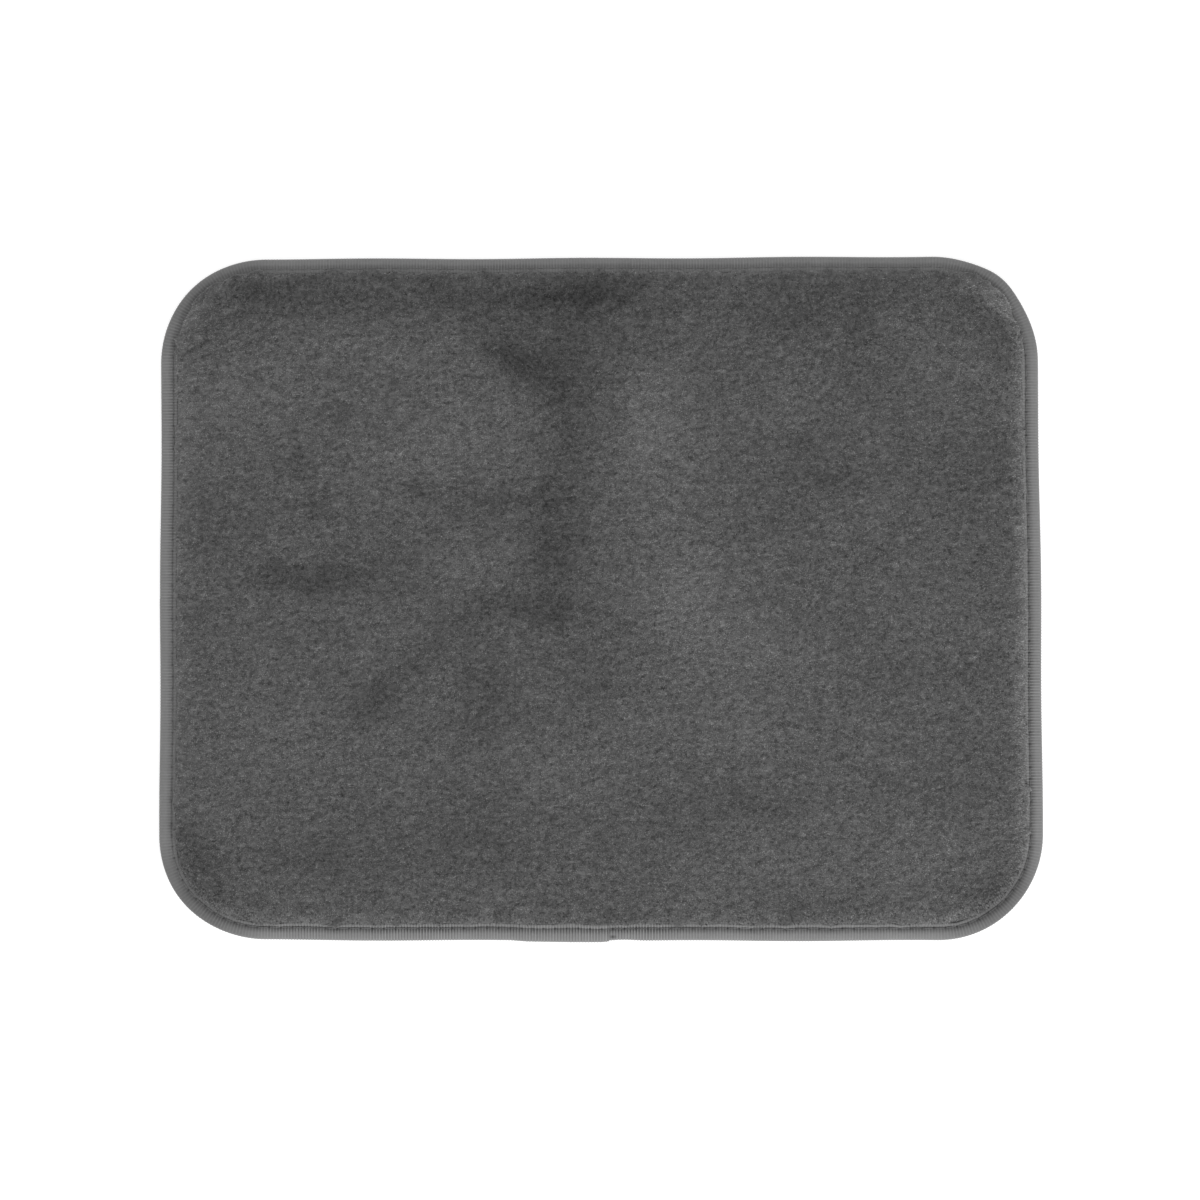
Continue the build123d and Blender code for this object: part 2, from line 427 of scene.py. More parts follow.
def weave_group():
    """Plain weave: two sets of crossing threads, each a row of round backs, and where they cross
    the one on top changes. Height = warp back x checker + weft back x (1 - checker)."""
    group, given, result = new_group("plain_weave", {"Place": None, "Thread": 0.0005}, ["Height"])
    turns = combined(group, "DIVIDE", math.pi, given["Thread"])
    split = add_node(group, "ShaderNodeSeparateXYZ", {0: given["Place"]})
    backs = []
    for axis in ("X", "Y"):
        angle = combined(group, "MULTIPLY", split.outputs[axis], turns)
        backs.append(combined(group, "ABSOLUTE", combined(group, "SINE", angle, 0.0), 0.0))
    squares = {"Vector": given["Place"], "Scale": combined(group, "DIVIDE", 1.0, given["Thread"])}
    on_top = add_node(group, "ShaderNodeTexChecker", squares).outputs["Fac"]
    warp = combined(group, "MULTIPLY", backs[0], on_top)
    weft = combined(group, "MULTIPLY", backs[1], combined(group, "SUBTRACT", 1.0, on_top))
    group.links.new(combined(group, "ADD", warp, weft), result.inputs["Height"])
    return group


plain_weave = weave_group()


def woven_material(name, color, thread, slubs, uniform):
    """Plain-woven cloth: threads stand in relief, their hollows are darker as painted shade, and slubs
    are darker.
    """
    material, tree, shader, place = new_material(name, uniform)
    weave = in_group(tree, plain_weave, {"Place": place, "Thread": thread}).outputs["Height"]
    # Painted shade: darker in the hollows between the threads.
    tinted(tree, shader, mottled(tree, place, 12 * mm, slubs, remapped(tree, weave, 0.7, 1.15)), color)
    bumped(tree, shader, weave, strength=0.6, distance=0.5 * thread)
    return material


backing_round = 0.2 * mm
backing_middle = 16 * mm  # the inset where its flat middle begins
backing_sheet = layer_piece(
    "backing_sheet_cloth",
    [
        (backing_middle, backing_low.z),
        (cut_edge + backing_round, backing_low.z),
        (cut_edge, backing_low.z + backing_round),
        (cut_edge, backing_high.z - backing_round),
        (cut_edge + backing_round, backing_high.z),
        (backing_middle, backing_high.z),
    ],
)
backing_uniform = {"Roughness": 0.9, "Sheen Weight": 0.1}
backing_sheet.data.materials.append(
    woven_material("backing_weave", (0.085, 0.085, 0.088), 0.6 * mm, 0.25, backing_uniform)
)
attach(backing_sheet, "root")
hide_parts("backing_sheet")


# ---- The grip dots ----
# Low domes of soft rubber, printed in staggered rows on the backing and cured there. They are
# left out where the care label lies.

dot_radius = 3.0 * mm
dot_pitch = 20.0 * mm
dot_margin = 18.0 * mm  # from the outside of the binding to the nearest dot's centre
dot_label_gap = 0.05 * mm
dots_low, dots_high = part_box("grip_dots")
label_low, label_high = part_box("care_label")


def dot_places():
    """Centres of the dots: rows dot_pitch x root 3 / 2 apart, every other row moved half a pitch."""
    row_pitch = dot_pitch * math.sqrt(3) / 2
    rows = np.arange(-int(half_width / row_pitch), int(half_width / row_pitch) + 1)[:, None]
    columns = np.arange(-int(half_length / dot_pitch) - 1, int(half_length / dot_pitch) + 2)
    x = columns * dot_pitch + np.where(rows % 2, dot_pitch / 2, 0)
    y = rows * row_pitch + 0 * x
    clear = dot_radius + dot_label_gap
    under_label = (x > label_low.x - clear) & (x < label_high.x + clear)
    under_label &= y > label_low.y - clear
    keep = (depth_in(x, y) >= dot_margin) & ~under_label
    return np.stack([x[keep], y[keep], 0 * x[keep]], -1)


def repeated(name, form, form_faces, places):
    """One piece from many copies: form is points (copies, n, 3) or (n, 3), moved to each place."""
    points = form + places[:, None, :]
    each = np.arange(len(places))[:, None, None] * form.shape[-2]
    faces = [(some[None] + each).reshape(-1, some.shape[1]) for some in form_faces]
    return piece_of(name, points, faces)


def dome_form(radius, bottom, top, sides=14, rings=4):
    """A low dome that hangs from a flat top: at an angle a from 0 to 90 degrees a ring has a
    radius of radius x root(cos(a)) and lies height x sin(a) below the top."""
    rise = np.linspace(0, math.pi / 2, rings, endpoint=False)[:, None]
    turn = np.arange(sides) * 2 * math.pi / sides
    reach = radius * np.cos(rise) ** 0.5
    z = top - (top - bottom) * np.sin(rise) + 0 * turn
    points = np.stack([reach * np.cos(turn), reach * np.sin(turn), z], -1).reshape(-1, 3)
    points = np.vstack([points, [(0, 0, bottom), (0, 0, top)]])
    first = np.arange(sides)
    pole = rings * sides
    closed = [fan(first + pole - sides, pole), fan(first, pole + 1)[:, ::-1]]
    return points, [ring_faces(rings, sides)] + closed


def rubber_material():
    """Cured rubber paste: nearly black, with fine pits and a slightly uneven gloss."""
    material, tree, shader, place = new_material("grip_rubber", {"Specular IOR Level": 0.4})
    pits = noise(tree, place, scale=2500.0, detail=3.0)
    tinted(tree, shader, mottled(tree, place, 4 * mm, 0.3), (0.045, 0.045, 0.047))
    tree.links.new(remapped(tree, pits, 0.4, 0.65), shader.inputs["Roughness"])
    bumped(tree, shader, pits, strength=0.3, distance=0.1 * mm)
    return material


dot_points, dot_faces = dome_form(dot_radius, dots_low.z, dots_high.z)
grip_dots = repeated("grip_dots_rubber", dot_points, dot_faces, as_sewn(dot_places()))
grip_dots.data.materials.append(rubber_material())
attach(grip_dots, "root")
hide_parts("grip_dots")


# ---- The care label ----
# A short satin ribbon, blank, with its ends cut hot. One end is caught between the backing and
# the lower leg of the binding at the back edge, and the rest lies against the backing.

label_curl = 0.12 * mm
label_gap = 0.01 * mm  # between the ribbon and the backing
label_lines = (25, 31)


def label_piece():
    """A ribbon closed all round: its height under the backing dips by
    curl x (place along) squared x (1 + sine of place across) / 2."""
    across, along = np.meshgrid(*(np.linspace(0, 1, count) for count in label_lines))
    x = label_low.x + (label_high.x - label_low.x) * across
    y = label_high.y + (label_low.y - label_high.y) * along
    dip = label_curl * along**2 * (1 + np.sin(7 * across)) / 2
    thickness = label_high.z - label_low.z
    top = np.stack([x, y, label_high.z - label_gap - dip], -1)
    below = top - (0, 0, thickness)
    quads = grid_faces(*across.shape)
    rim = grid_rim(*across.shape)
    beside = np.roll(rim, -1)
    under = across.size
    side = np.stack([rim, rim + under, beside + under, beside], -1)
    points = as_sewn(np.concatenate([top.reshape(-1, 3), below.reshape(-1, 3)]))
    return piece_of("care_label_ribbon", points, [quads, quads[:, ::-1] + under, side])


care_label = label_piece()
label_uniform = {"Roughness": 0.45, "Sheen Weight": 0.2}
care_label.data.materials.append(
    woven_material("label_satin", (0.74, 0.74, 0.72), 0.25 * mm, 0.05, label_uniform)
)
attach(care_label, "root")
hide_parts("care_label")


# ---- The ground cloth ----
# A warp-knitted cloth, drawn over the foam and down its swell to the edge. The pile's yarns are
# caught in its loops.

ground_thickness = ground_high.z - foam_high.z


def scaled(tree, socket, factors):
    """A vector socket times three factors."""
    return add_node(tree, "ShaderNodeVectorMath", {0: socket, 1: factors}, operation="MULTIPLY").outputs[0]


def slanting_waves(tree, place, scale, distortion=0.0):
    """Bands that run diagonally over the surface, as a value from 0 to 1."""
    given = {"Vector": place, "Scale": scale, "Distortion": distortion}
    return add_node(tree, "ShaderNodeTexWave", given, bands_direction="DIAGONAL").outputs["Fac"]


def knit_material():
    """Warp knit: columns of small V-shaped loops, worked out as two slanting sets of waves, with
    painted shade darkening the gaps between the loops.
    """
    material, tree, shader, place = new_material("ground_knit", {"Roughness": 0.92, "Sheen Weight": 0.15})
    mirrored = scaled(tree, place, (-1.0, 1.0, 1.0))
    sets = [slanting_waves(tree, each, scale=160.0) for each in (place, mirrored)]
    loops = combined(tree, "MAXIMUM", *sets)
    # Painted shade: darker between the loops.
    tone = mottled(tree, place, 10 * mm, 0.2, remapped(tree, loops, 0.6, 1.1))
    tinted(tree, shader, tone, (0.075, 0.075, 0.076))
    bumped(tree, shader, loops, strength=0.6, distance=0.4 * mm)
    return material


lie = 0.05 * mm  # how closely the cloth lies on the foam
ground_cloth = layer_piece(
    "ground_cloth_knit",
    [
        *swell_profile(lift=lie)[::-1],
        (cut_edge + 0.1 * mm, ground_low.z + lie),
        (cut_edge + 0.1 * mm, ground_low.z + ground_thickness - lie),
        *swell_profile(lift=ground_thickness - lie * np.array([1, 0, 0, 0, 1])),
    ],
    swollen=slice(None),
)
ground_cloth.data.materials.append(knit_material())
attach(ground_cloth, "root")
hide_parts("ground_cloth")


# ---- The plush pile ----
# Fine microfibre yarns, cut level and brushed. They stand so close that they read as one soft
# surface, with clumps, faint rows and paler and darker marks where feet and hands laid the nap.
# The marks' light and shade are painted into the pile's colour, as are paler and darker bands
# along its rim and at its corners.

pile_spacing = 0.9 * mm
shoulder = 6.0 * mm  # the radius of the pile's rounded rim
tip_length = 1.2 * mm  # how far the loose tips stand above the close surface
pile_color = (0.187, 0.187, 0.187)
deep_tone = 0.56  # the pile between the tips is in the shade of its own fibres
nap_painted_light_contrast = 0.54
chance = np.random.default_rng(7)

# Painted light and shade. Each mark: its middle, its half length and half width in mm, its turn in
# degrees, and how much paler (+) or darker (-) the pile is painted there. Most stand for the sheen
# and shade of the nap where it lies another way; those along the rim and at its corners stand for
# light and shade on the rounded rim.
nap_painted_light_marks = np.array([
    (-8, 154, 24, 8, 0, -0.8), (-45, 124, 12, 7, -30, -0.7), (-27, 113, 16, 8, -25, -0.6),
    (-22, 130, 30, 34, 0, -0.45), (-14, 88, 15, 24, 0, -0.45), (-27, 52, 17, 6, 4, -0.75),
    (-56, 51, 13, 6, 0, -0.45), (-95, 56, 13, 5, -8, -0.5), (-22, 26, 12, 18, 0, -0.6),
    (-25, -7, 12, 9, 0, -0.65), (-52, -4, 20, 6, 0, -0.45), (-84, -22, 22, 8, 42, -0.35),
    (-116, -52, 20, 8, 46, -0.5), (-147, 12, 27, 8, 4, -0.8), (-135, 95, 9, 6, 0, -0.35),
    (-158, 74, 8, 10, 0, -0.4), (-145, 48, 6, 11, 0, -0.45), (-200, 38, 18, 15, 0, -0.25),
    (-60, -48, 13, 28, 0, -0.35), (-205, -130, 9, 16, 20, -0.4), (-148, -133, 26, 9, 0, -0.4),
    (-65, -125, 40, 22, 0, -0.25), (-70, 156, 80, 11, 0, -0.5), (-170, 154, 30, 10, 0, -0.45),
    (100, 154, 100, 12, 0, -0.3), (96, 140, 16, 7, 0, -0.4), (135, 140, 9, 22, 0, -0.35),
    (205, 140, 14, 22, 0, -0.15), (118, 62, 24, 7, 0, -0.35), (104, 78, 13, 9, 0, -0.25),
    (195, 55, 24, 30, 0, -0.2), (190, -38, 24, 7, 0, -0.25), (146, -38, 13, 8, 0, -0.2),
    (75, -104, 22, 8, 0, -0.25), (147, -97, 30, 6, 0, -0.2), (2, -46, 24, 10, 0, -0.2),
    (-175, 100, 40, 30, 0, 0.35), (-75, 84, 36, 20, 0, 0.35), (-110, 128, 32, 12, 0, 0.15),
    (26, 86, 20, 30, 0, 0.4), (42, 6, 28, 22, 0, 0.4), (75, -24, 40, 18, 0, 0.3),
    (92, 96, 18, 12, 0, 0.2), (172, 112, 20, 18, 0, 0.15), (-64, 20, 20, 12, 0, 0.25),
    (175, -14, 26, 10, 0, 0.15), (-190, -85, 22, 34, 0, 0.15), (-20, -85, 30, 26, 0, 0.15),
    (70, -65, 40, 20, 0, 0.15), (160, -130, 40, 16, 0, 0.15), (215, -5, 4, 130, 0, 0.35),
    (-214, 50, 9, 100, 0, 0.25), (0, -165, 190, 5, 0, -0.65),
    (204, 153, 34, 7, -45, 0.95), (-203, 153, 28, 7, 45, 0.65), (202, -152, 30, 7, 45, -0.5),
    (-202, -152, 28, 6, -45, -0.3),
])


def nap_painted_light_at(x, y):
    """How pale the pile is painted at a place, as painted light and shade: the sum of the marks, each
    strength x exp(-(a squared + b squared)), where a and b are the distances along and across the
    mark over its half sizes."""
    total = np.zeros_like(x)
    for middle_x, middle_y, half_long, half_wide, turn, strength in nap_painted_light_marks:
        dx, dy = x / mm - middle_x, y / mm - middle_y
        cos, sin = math.cos(math.radians(turn)), math.sin(math.radians(turn))
        a, b = (dx * cos + dy * sin) / half_long, (dy * cos - dx * sin) / half_wide
        total += strength * np.exp(-(a * a + b * b))
    return total


def covering_lines(reach):
    """Grid lines across the pile, spaced evenly, with closer ones where its rim curves down."""
    close = np.array([0, 0.1, 0.35, 0.75]) * mm
    inner = reach - close[-1] - 0.5 * pile_spacing
    even = np.linspace(-inner, inner, round(2 * inner / pile_spacing) + 1)
    return np.concatenate([close - reach, even, (reach - close)[::-1]])


def facing_out(x, y):
    """Unit directions away from the corner-centre lines, and none in the middle of the mat."""
    out_x = np.sign(x) * np.maximum(np.abs(x) - center_x, 0)
    out_y = np.sign(y) * np.maximum(np.abs(y) - center_y, 0)
    size = np.maximum(np.hypot(out_x, out_y), 1e-9)
    return out_x / size, out_y / size


lines_x = covering_lines(half_length - swell_start)
lines_y = covering_lines(half_width - swell_start)
grid_x, grid_y = pressed_to_corners(*np.meshgrid(lines_x, lines_y), corner_radius - swell_start)
grid_shape = grid_x.shape
rim_depth = np.maximum(depth_in(grid_x, grid_y) - swell_start, 0)
out_x, out_y = facing_out(grid_x, grid_y)


def soft_noise(long_x, long_y):
    """Random relief with bumps about long_x by long_y, and a spread of 1: white noise whose waves
    are weakened by exp(-2 (pi x wave number x quarter length) squared)."""
    waves = np.fft.rfft2(chance.standard_normal(grid_shape))
    wave_y = np.fft.fftfreq(grid_shape[0], pile_spacing)[:, None] * long_y / 4
    wave_x = np.fft.rfftfreq(grid_shape[1], pile_spacing)[None, :] * long_x / 4
    relief = np.fft.irfft2(waves * np.exp(-2 * math.pi**2 * (wave_x**2 + wave_y**2)), s=grid_shape)
    return (relief - relief.mean()) / relief.std()


slow = soft_noise(60 * mm, 45 * mm)
clumps = soft_noise(6 * mm, 3.2 * mm)
courses = soft_noise(9 * mm, 2 * mm)
grain = soft_noise(2.2 * mm, 1.3 * mm)
mark_wander = 1.8 * mm  # how ragged the marks' outlines are
ragged_x = mark_wander * soft_noise(8 * mm, 8 * mm)
ragged_y = mark_wander * soft_noise(8 * mm, 8 * mm)
rim_waver = soft_noise(6 * mm, 6 * mm)

# All round, the rim's pile leans out over the lip of the tape. At the back edge it was brushed
# further out, over the seam, and most of all at the two back corners.
everywhere, at_back, at_back_corners = 0.5 * mm, 0.9 * mm, 3.2 * mm
rim_raggedness, least_overhang = 0.65 * mm, 0.4 * mm
leaning_rim = 9 * mm  # how far in the lean reaches
overhang = everywhere + at_back * np.clip(out_y + 0.25, 0, 1)
overhang += at_back_corners * np.maximum(out_y * np.abs(out_x), 0)
overhang = np.maximum(overhang + rim_raggedness * rim_waver, least_overhang)
spread = overhang * np.clip(1 - rim_depth / leaning_rim, 0, 1) ** 2
rise = np.clip(rim_depth / shoulder, 0, 1)
pile_form = np.sqrt(np.clip(1 - (1 - rise) ** 2, 0, 1))
over_tape = 0.5 * spread * (1 - pile_form)

pile_surface = pile_high.z - 0.75 * tip_length
smooth_level = pile_surface - shoulder * (1 - pile_form) + over_tape + swell_at(grid_x, grid_y)
relief = mm * (0.10 * slow + 0.08 * clumps + 0.06 * courses + 0.12 * grain)
level = smooth_level + relief * (0.4 + 0.6 * pile_form)
pile_x, pile_y = grid_x + out_x * spread, grid_y + out_y * spread
smooth_pile = as_sewn(np.stack([pile_x, pile_y, smooth_level], -1))
close_pile = as_sewn(np.stack([pile_x, pile_y, level], -1))
# The marks' field, with ragged outlines: it leans the loose tips, and in the tone below it is painted
# light and shade. The tone is also paler where the relief rises and darker where it dips.
nap = nap_painted_light_at(grid_x + ragged_x, grid_y + ragged_y)
tone = np.exp(nap_painted_light_contrast * nap + 0.03 * slow + 0.03 * clumps + 0.04 * courses + 0.13 * grain)


def pile_piece():
    """The close surface of the pile, turned down at its rim to the foot beside the tape, and closed
    underneath along the ground cloth: rings at an inset and a height, then the last of them drawn
    in towards the middle in equal steps."""
    rim = grid_rim(*grid_shape)
    foot_x, foot_y = grid_x.reshape(-1)[rim], grid_y.reshape(-1)[rim]
    face_x, face_y = out_x.reshape(-1)[rim], out_y.reshape(-1)[rim]
    cloth_top = ground_high.z + 0.1 * mm
    lower = [(0.0, ground_low.z + 1.5 * mm), (0.1 * mm, ground_low.z + 0.95 * mm)]
    lower += [(0.5 * swell_run, ground_low.z + 3.1 * mm), (swell_run, cloth_top)]
    rings = [
        np.stack([foot_x - inset * face_x, foot_y - inset * face_y, np.full(len(rim), height)], -1)
        for inset, height in lower
    ]
    rings += [rings[-1] * (step, step, 1) for step in np.linspace(0.92, 0.08, 12)]
    below = np.concatenate(rings + [np.array([(0, 0, cloth_top)])])
    below[:, 2] += swell_at(below[:, 0], below[:, 1])
    points = np.vstack([close_pile.reshape(-1, 3), as_sewn(below)])
    order = np.concatenate([rim, grid_x.size + np.arange(len(rings) * len(rim))])
    walls = order[ring_faces(len(rings) + 1, len(rim))][:, ::-1]
    middle = fan(order[-len(rim):], len(points) - 1)[:, ::-1]
    return piece_of("plush_pile_surface", points, [grid_faces(*grid_shape), walls, middle])


def give_values(piece, name, values):
    """Stores one number for each point of a piece."""
    layer = piece.data.attributes.new(name, "FLOAT", "POINT")
    layer.data.foreach_set("value", np.asarray(values, np.float32).reshape(-1))


def lay_flat(piece):
    """Gives a piece the map of its own plan, so that its colours are laid down from above."""
    mesh = piece.data
    at = np.empty(len(mesh.vertices) * 3)
    mesh.vertices.foreach_get("co", at)
    corner = np.empty(len(mesh.loops), np.int32)
    mesh.loops.foreach_get("vertex_index", corner)
    plan = at.reshape(-1, 3)[:, :2]
    low, high = plan.min(0), plan.max(0)
    shares = (plan - low) / (high - low).max()
    margin = 0.005
    layer = mesh.uv_layers.new(name="OFBake")
    layer.data.foreach_set("uv", (margin + (1 - 2 * margin) * shares)[corner].reshape(-1))


def pile_material():
    """Charcoal microfibre: the tone of the nap with its painted light and shade, a fine fibre grain,
    dark specks of painted shade where the fibres part, a very rough face and a soft sheen where it
    is seen from low down."""
    uniform = {"Roughness": 0.95, "Specular IOR Level": 0.25, "Sheen Weight": 0.25, "Sheen Roughness": 0.5}
    material, tree, shader, place = new_material("charcoal_microfibre", uniform)
    pile_tone_and_painted_light = add_node(tree, "ShaderNodeAttribute", attribute_name="tone_and_painted_light").outputs["Fac"]
    dyed = mottled(tree, scaled(tree, place, (1.0, 1.0, 0.0)), 6 * mm, 0.35, pile_tone_and_painted_light)
    # Painted shade: dark specks where the fibres part.
    parted = noise(tree, scaled(tree, place, (1.0, 1.6, 0.0)), scale=700.0, detail=1.0)
    painted_shade_specks = remapped(tree, parted, 1.04, 0.62, from_low=0.5, from_high=0.72)
    tinted(tree, shader, combined(tree, "MULTIPLY", dyed, painted_shade_specks), pile_color)
    fibres = noise(tree, place, scale=2200.0, detail=2.0)
    bumped(tree, shader, fibres, strength=0.5, distance=0.3 * mm)
    return material


charcoal_microfibre = pile_material()
plush_pile = pile_piece()
rim_count = len(plush_pile.data.vertices) - tone.size
give_values(plush_pile, "tone_and_painted_light", deep_tone * np.append(tone.reshape(-1), np.ones(rim_count)))
lay_flat(plush_pile)
plush_pile.data.materials.append(charcoal_microfibre)
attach(plush_pile, "root")
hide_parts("plush_pile")


# ---- The loose tips of the pile ----
# Small bundles of fibre ends that stand out of the close pile, each leaning its own way, and all
# a little towards the front, as the nap was brushed.

tip_spacing = 0.8 * mm
tip_radius = 0.47 * mm
tip_root = 0.6 * mm  # how deep each bundle starts in the close pile
nap_lean = np.array([0.15, -0.35]) * mm
own_lean = 0.3 * mm
tip_mottle = 0.3
# Painted shade: a share of the tips is painted dark, standing for the shaded gaps between the bundles, and
# the others are painted paler to hold the mean.
painted_shade_share, painted_shade_tone, plain_tone = 0.26, 0.5, 1.46
painted_shade_share_of_nap = 0.4  # a mark's painted shade is darker partly because more of its tips are painted dark
thin_limit = 1.25  # where the patchiness passes this, no tips stand


def standing(points):
    """Unit directions square to the pile's surface: the cross product of its two slopes."""
    along_x, along_y = np.gradient(points, axis=1), np.gradient(points, axis=0)
    out = np.cross(along_x, along_y)
    return out / np.maximum(np.linalg.norm(out, axis=-1, keepdims=True), 1e-12)


stand = standing(smooth_pile)
thin_patches = soft_noise(2.6 * mm, 1.6 * mm)


def pile_at(field, at_x, at_y):
    """Reads a field of the pile's grid at places between its lines."""
    return read_grid(field, lines_x, lines_y, at_x, at_y)


def tips_piece(name, low_x, high_x):
    """Bundles of fibre over one stretch of the mat: each is a closed spike on three points round
    its root, and its tip is the root plus length x stand, plus the brushed and its own lean. Its
    tone is the nap's, with its painted light and shade, x exp(-mottle x |chance|), then dark for
    some, as painted shade of the gaps in the pile, and pale for the others."""
    first = np.arange(low_x + tip_spacing / 2, high_x, tip_spacing)
    second = np.arange(lines_y[0] + tip_spacing / 2, lines_y[-1], tip_spacing)
    at_x, at_y = (places.reshape(-1) for places in np.meshgrid(first, second))
    at_x = at_x + tip_spacing * chance.uniform(-0.5, 0.5, at_x.size)
    at_y = at_y + tip_spacing * chance.uniform(-0.5, 0.5, at_y.size)
    inside = (np.abs(at_x) < lines_x[-1]) & (np.abs(at_y) < lines_y[-1])
    inside &= pile_at(thin_patches, at_x, at_y) + 0.4 * chance.standard_normal(at_x.size) < thin_limit
    at_x, at_y = at_x[inside], at_y[inside]
    count = len(at_x)
    up = pile_at(stand, at_x, at_y)
    up /= np.linalg.norm(up, axis=1, keepdims=True)
    root = pile_at(close_pile, at_x, at_y) - tip_root * up
    marks = pile_at(nap, at_x, at_y)
    lean = np.zeros((count, 3))
    lean[:, :2] = nap_lean * (1 + 0.8 * np.clip(marks, -1, 1))[:, None]
    lean[:, :2] += own_lean * chance.standard_normal((count, 2))
    length = tip_root + tip_length * chance.uniform(0.45, 1.1, count)
    tip = root + up * length[:, None] + lean
    side = np.cross(up, (0.0, 1.0, 0.0))
    side /= np.linalg.norm(side, axis=1, keepdims=True)
    other = np.cross(up, side)
    turn = chance.uniform(0, 2 * math.pi, count)[:, None] + np.arange(3) * 2 * math.pi / 3
    radius = tip_radius * chance.uniform(0.75, 1.25, (count, 3))
    feet = root[:, None] + (radius * np.cos(turn))[..., None] * side[:, None]
    feet = feet + (radius * np.sin(turn))[..., None] * other[:, None]
    points = np.concatenate([feet, tip[:, None]], 1).reshape(-1, 3)
    each = 4 * np.arange(count)[:, None, None]
    spike = np.array([(0, 1, 3), (1, 2, 3), (2, 0, 3), (2, 1, 0)])
    piece = piece_of(name, points, [(spike + each).reshape(-1, 3)])
    own_tone = pile_at(tone, at_x, at_y) * np.exp(-tip_mottle * np.abs(chance.standard_normal(count)))
    dark = chance.uniform(size=count) < painted_shade_share - painted_shade_share_of_nap * np.clip(marks, -1, 0.6)
    own_tone *= np.where(dark, painted_shade_tone, plain_tone)
    give_values(piece, "tone_and_painted_light", np.repeat(own_tone, 4))
    lay_flat(piece)
    piece.data.materials.append(charcoal_microfibre)
    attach(piece, "root")
    return piece


tips_pieces = 5
tip_bounds = np.linspace(lines_x[0], lines_x[-1], tips_pieces + 1)
for place in range(tips_pieces):
    tips_piece(f"pile_tips_{place + 1}", tip_bounds[place], tip_bounds[place + 1])


# ---- The edge binding ----
# One strip of ribbed tape, folded over the cut edges of all the layers and sewn through. It
# starts and ends at the front edge, where its upper end is lapped over its lower one.

rib_pitch = 1.5 * mm
rib_height = 0.16 * mm
painted_rib_shade_contrast = 0.4
# How strongly the ribs stand, and with them their painted light and shade: mm along the walk from
# the middle of the front, and the share.
rib_strengths = [
    (0, 1.0), (60, 0.8), (171, 0.5), (246, 0.5), (300, 0.85), (440, 0.7), (488, 0.5), (562, 0.36),
    (904, 0.36), (979, 0.4), (1000, 0.6), (1100, 0.5), (1200, 0.35), (1295, 0.6), (1366, 1.05),
    (1467, 1.0),
]
tape_thickness = 0.5 * mm
tape_top = ground_low.z + ground_thickness + backing_low.z
fold_width = 3.4 * mm  # how far in the fold goes on curving down to the edge
lap_start, lap_end = -40 * mm, 4 * mm
lap_rise = 0.55 * mm
lap_foot = 1.2 * mm  # below this height the doubled tape is pressed into the edge
roll_height, selvage_height, lip_drop = 0.3 * mm, 0.18 * mm, 0.25 * mm
groove_above, groove_below = 0.55 * mm, 0.3 * mm
stitch_count = round(seam_length / (5.85 * mm))
stitch_pitch = seam_length / stitch_count


def bell(x, middle, spread):
    """A smooth bump of height 1: exp(-((x - middle) / spread) squared)."""
    return np.exp(-(((x - middle) / spread) ** 2))


def tape_section():
    """The tape's face across its width: flat on top, round the fold as a half ellipse, inset =
    fold width x (1 - cos(a)) and height = middle x (1 + sin(a)), and flat below. A third row
    falls from 1 on top to 0 below, as the fold turns down."""
    top = np.array([9.0, 8.7, 8.2, 7.7, 7.2, 6.9, 6.6, 6.3, 6.0, 5.6, 4.9, 4.2, 3.5]) * mm
    below = np.array([4.0, 6.1, 6.5, 6.9, 9.5]) * mm
    angle = np.radians(np.array([66, 44, 22, -4, -34, -66]))
    middle = tape_top / 2
    inset = np.concatenate([top, fold_width * (1 - np.cos(angle)), below])
    height = np.concatenate([0 * top + tape_top, middle * (1 + np.sin(angle)), 0 * below])
    on_top = np.concatenate([0 * top + 1, 0.5 + np.sin(angle) / 2, 0 * below])
    return inset, height, on_top


face_inset, face_height, on_top = tape_section()
inner_points = [22, 17, 15, 13, 9, 5, 1]  # the points of the face that its inside repeats


def upper_bump(middle, spread):
    """A bump across the tape's upper side, at an inset, both in mm."""
    return bell(face_inset, middle * mm, spread * mm) * on_top


# Stations along the tape, three to a rib, each a row of the arrays that follow.
rib_count = round((seam_length + lap_end - lap_start) / rib_pitch)
walked = np.linspace(lap_start, seam_length + lap_end, 3 * rib_count + 1)[:, None]
tape_facing = np.interp(np.mod(walked, seam_length), walk_ends, walk_facing)
to_back = np.sin(tape_facing)
at_corner = np.abs(np.sin(2 * tape_facing))
# Painted shade: the tape is painted darker at the corners, where it bunches, most at the front ones.
painted_corner_shade = at_corner * (0.25 - 0.14 * to_back)
pulled = bell(2 * np.abs(np.mod(walked / stitch_pitch, 1) - 0.5), 1, 0.22)

# The lip and the seam's groove show less at the back, under the pile, and less still at its
# corners; the groove is also shallower on the left.
lip_shows = 1 - 0.7 * np.maximum(to_back, 0) - 0.35 * at_corner * (to_back > 0)
groove_shows = lip_shows - 0.5 * np.maximum(-np.cos(tape_facing), 0) ** 4

# The lip wavers as the hand guided it, and the ribs are drawn tighter in some places than others.
waver_places = np.linspace(walked.min(), walked.max(), 260)
waver = np.interp(walked, waver_places, chance.standard_normal(len(waver_places)))
uneven = np.interp(walked, waver_places[::4], chance.uniform(0.65, 1.3, len(waver_places[::4])))
tight = np.interp(np.mod(walked, seam_length) / mm, *np.transpose(rib_strengths))
each_rib = chance.uniform(0.7, 1.25, rib_count + 1).repeat(3)[: len(walked), None]
rib_strength = each_rib * tight * uneven
rib = np.cos(2 * math.pi * np.arange(len(walked)) / 3)[:, None]

